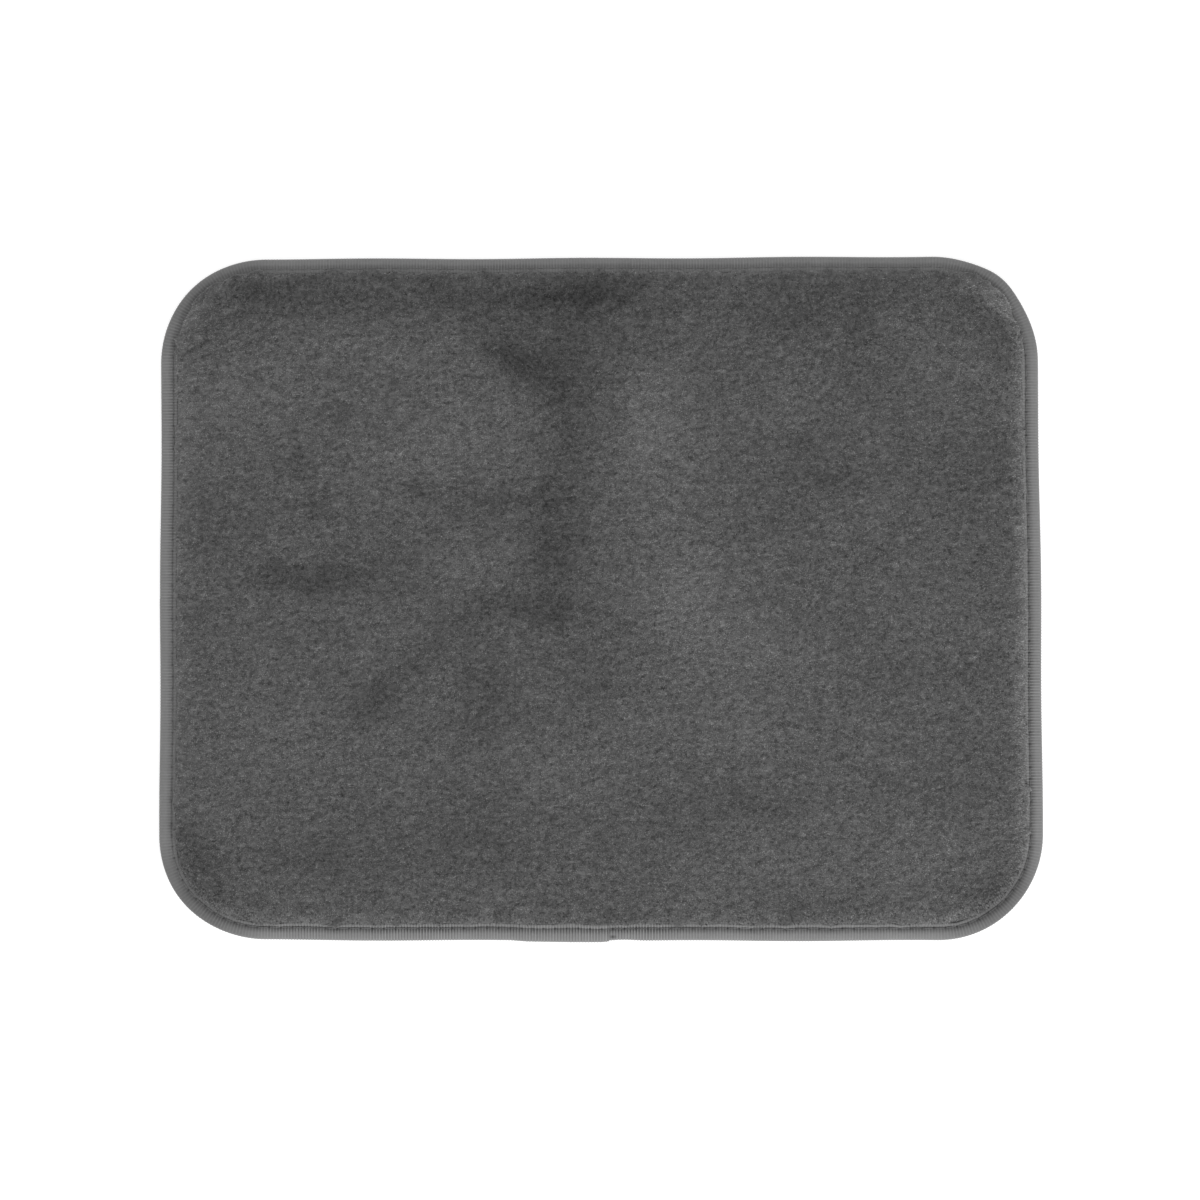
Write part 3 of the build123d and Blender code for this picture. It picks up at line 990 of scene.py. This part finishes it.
# At the lap the upper end rises over the lower one, which lies raised underneath it. The cut end
# is pressed down into a tuck, with a painted shadow in it, and has a frayed edge.
upper_from, upper_to = seam_length + lap_start - 6 * mm, seam_length + lap_end
lap_steps = [upper_from, upper_from + 8 * mm, upper_to - 4 * mm, upper_to]
lifted = lap_rise * np.interp(walked, lap_steps, [0, 1, 1, 0.35])
covered = 0.3 * mm * np.interp(walked, [lap_end, lap_end + 8 * mm], [1, 0])
beyond_lap = bell(walked, lap_end + 7 * mm, 8 * mm)
tuck_with_painted_shadow = bell(walked, lap_end + 1.8 * mm, 1.6 * mm) * upper_bump(2.2, 0.8)
frayed = bell(walked, lap_end - 0.8 * mm, 1.0 * mm) * upper_bump(1.8, 0.8)


def tape_points():
    """The tape's points, those of its face and then those of its inside. The face is the section,
    wider where the lip wavers, plus a soft roll over the squeezed edge and a selvage at the lip,
    less the groove that the seam pulls, deeper at each needle hole. Ribs stand square to it, and
    the inside lies the tape's thickness below it."""
    pressed_foot = np.clip(face_height / lap_foot, 0, 1)
    loose = mm * (0.22 - 0.14 * to_back)
    inset = face_inset + waver * loose * np.clip(face_inset / (9 * mm), 0, 1) ** 2 * on_top
    inset = inset + 0.6 * mm * beyond_lap * np.clip(1 - face_inset / (6 * mm), 0, 1)
    roll = roll_height * upper_bump(4.0, 1.5)
    selvage = selvage_height * lip_shows * upper_bump(8.5, 0.8)
    selvage = selvage - lip_drop * (face_inset > 8.9 * mm) * on_top
    groove = groove_shows * bell(face_inset, seam_inset, 0.7 * mm)
    press = (groove_above * on_top - groove_below * (1 - on_top)) * groove
    height = face_height + roll + selvage * (1.2 - 0.5 * pulled) - press * (1 + 0.6 * pulled)
    height = height - 0.6 * mm * tuck_with_painted_shadow + covered * (1 - pressed_foot)

    slope_in, slope_up = np.gradient(face_inset), np.gradient(face_height + roll - press.mean(0))
    size = np.hypot(slope_in, slope_up)
    out_in, out_up = slope_up / size, -slope_in / size
    stand_out = (rib_height * rib * rib_strength + lifted) * pressed_foot
    front = along_edge(walked, inset + out_in * stand_out, height + out_up * stand_out)

    inset, height, out_in, out_up = (row[..., inner_points] for row in (inset, height, out_in, out_up))
    flat_below = face_height[inner_points] <= 0
    stand_out = lifted * pressed_foot[inner_points] - tape_thickness * ~flat_below
    height = height + out_up * stand_out + tape_thickness * flat_below
    back = along_edge(walked, inset + out_in * stand_out, height)
    return as_sewn(np.concatenate([front, back], 1))


def tape_painted_light():
    """How pale each point of the face is painted, most of it painted light and shade: paler on the
    ribs' crests and darker in their hollows, darker in the groove, most at the needle holes, in the
    tuck at the lap's end and at the corners where the tape bunches, paler at the frayed end, and
    faintly darker in two bands along the tape."""
    # Painted highlight on the rib crests and painted shade in their hollows, then painted shade in the
    # seam's groove and needle holes.
    drawn_in = 0.8 + 0.8 * bell(face_inset, 5.4 * mm, 1.3 * mm)
    tone = 1 + painted_rib_shade_contrast * rib * rib_strength * drawn_in - 0.03 * upper_bump(2.0, 1.5)
    tone -= (0.16 + 0.5 * pulled) * lip_shows * bell(face_inset, 6.6 * mm, 0.5 * mm)
    tone -= 0.75 * tuck_with_painted_shadow - 0.3 * frayed + 0.1 * upper_bump(4.8, 0.8)
    inside = np.ones((len(walked), len(inner_points)))
    return np.concatenate([tone, inside], 1) * (1 - painted_corner_shade)


def tape_piece():
    """The tape's points joined from station to station, with both ends closed."""
    points = tape_points()
    stations, across = points.shape[:2]
    first = np.arange(across)[None]
    ends = [first[:, ::-1], first + (stations - 1) * across]
    piece = piece_of("edge_binding_tape", points, [ring_faces(stations, across)] + ends)
    give_values(piece, "tape_painted_light", tape_painted_light())
    return piece


def tape_material():
    """Ribbed tape: painted highlight on the crests and painted shade in the hollows, fine yarn along
    each rib, and a soft sheen.
    """
    uniform = {"Roughness": 0.8, "Sheen Weight": 0.15, "Specular IOR Level": 0.3}
    material, tree, shader, place = new_material("ribbed_tape", uniform)
    tape_light_and_shade = add_node(tree, "ShaderNodeAttribute", attribute_name="tape_painted_light").outputs["Fac"]
    tinted(tree, shader, mottled(tree, place, 10 * mm, 0.22, tape_light_and_shade), (0.2, 0.2, 0.2))
    weave = in_group(tree, plain_weave, {"Place": place, "Thread": 0.35 * mm}).outputs["Height"]
    bumped(tree, shader, weave, strength=0.35, distance=0.15 * mm)
    return material


edge_binding = tape_piece()
edge_binding.data.materials.append(tape_material())
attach(edge_binding, "root")
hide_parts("edge_binding")


# ---- The seam's two threads ----
# One row of lockstitch through the tape and all the layers. The needle's thread shows as long
# stitches on top and the bobbin's as the same underneath, each pulled down into its groove.

thread_radius = 0.22 * mm
stitch_gap = 0.14  # the share of the pitch between one stitch and the next


def stitches_piece(name, middle_height, arch):
    """Stitches between the needle holes: each is a tube of a few rings and two ends, whose line
    arches by sin(pi x place) and dives into its holes."""
    place = np.array([0.0, 0.06, 0.2, 0.5, 0.8, 0.94, 1.0])
    size = np.array([0.55, 0.9, 1.0, 1.0, 1.0, 0.9, 0.55])[:, None]
    ring = np.arange(6)
    turn = ring * math.pi / 3
    walked = (np.arange(stitch_count)[:, None] + stitch_gap / 2 + (1 - stitch_gap) * place) * stitch_pitch
    line = middle_height + arch * (np.sin(math.pi * place) - 0.6)
    inset = seam_inset + thread_radius * size * np.cos(turn)
    height = line[:, None] + thread_radius * size * np.sin(turn)
    wander = 0.12 * mm * chance.standard_normal(stitch_count)[:, None, None]
    rings = along_edge(walked[..., None], inset + wander, height)
    dive = line[[0, -1]] - np.sign(arch) * 0.1 * mm
    ends = along_edge(walked[:, [0, -1]], seam_inset + wander[..., 0], dive)
    form = np.concatenate([rings.reshape(stitch_count, -1, 3), ends], 1)
    pole = len(place) * len(ring)
    closed = [fan(ring, pole)[:, ::-1], fan(ring + pole - len(ring), pole + 1)]
    faces = [ring_faces(len(place), len(ring))] + closed
    return repeated(name, as_sewn(form), faces, np.zeros((stitch_count, 3)))


def thread_material():
    """Spun sewing thread: slanting plies, with painted shade darker between them, and a slight gloss."""
    material, tree, shader, place = new_material("sewing_thread", {"Roughness": 0.6, "Sheen Weight": 0.2})
    plies = slanting_waves(tree, place, scale=420.0, distortion=1.5)
    # Painted shade: darker between the plies.
    tone = mottled(tree, place, 20 * mm, 0.2, remapped(tree, plies, 0.75, 1.1))
    tinted(tree, shader, tone, (0.14, 0.14, 0.14))
    bumped(tree, shader, plies, strength=0.5, distance=0.1 * mm)
    return material


sewing_thread = thread_material()
needle_thread = stitches_piece("needle_thread_stitches", tape_top - 0.2 * mm, 0.25 * mm)
bobbin_thread = stitches_piece("bobbin_thread_stitches", 0.3 * mm, -0.12 * mm)
for piece, node in ((needle_thread, "needle_thread"), (bobbin_thread, "bobbin_thread")):
    piece.data.materials.append(sewing_thread)
    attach(piece, "root")
    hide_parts(node)


# ---- The studio ----
# A plain white floor that the mat lies on, even light from all round, one wide soft light from
# the front right, and a camera straight above with a long lens.

floor_size = 40.0
floor_drop = 0.05 * mm  # keeps the floor clear of the underside of the tape
floor = piece_of(
    "studio_floor",
    np.array([(-1, -1, 0), (1, -1, 0), (1, 1, 0), (-1, 1, 0)]) * floor_size / 2 - (0, 0, floor_drop),
    [np.array([(0, 1, 2, 3)])],
    smooth=False,
)
floor_uniform = {
    "Roughness": 0.9, "Base Color": (0.55, 0.55, 0.55, 1),
    "Emission Color": (1, 1, 1, 1), "Emission Strength": 0.65,
}
floor.data.materials.append(new_material("white_floor", floor_uniform)[0])

scene = bpy.context.scene
scene.world = bpy.data.worlds.new("soft_studio")
scene.world.use_nodes = True
all_round = scene.world.node_tree.nodes["Background"]
all_round.inputs["Color"].default_value = (1, 1, 1, 1)
all_round.inputs["Strength"].default_value = 0.8
scene.view_settings.view_transform = "Standard"

lamp = bpy.data.lights.new("soft_box", "AREA")
lamp.shape, lamp.size, lamp.energy = "SQUARE", 1.0, 34.0
soft_box = bpy.data.objects.new("soft_box", lamp)
soft_box.location = (1.0, -2.0, 1.3)
toward = -soft_box.location
soft_box.rotation_euler = toward.to_track_quat("-Z", "Y").to_euler()
scene.collection.objects.link(soft_box)

view_width = 613.0 * mm  # how much the camera takes in at the height of the tape
camera_height = 2.4
lens = bpy.data.cameras.new("overhead")
lens.sensor_width = 36.0
lens.lens = lens.sensor_width * (camera_height - tape_top) / view_width
camera = bpy.data.objects.new("overhead", lens)
camera.location = (-0.3 * mm, -1.0 * mm, camera_height)
scene.collection.objects.link(camera)
scene.camera = camera
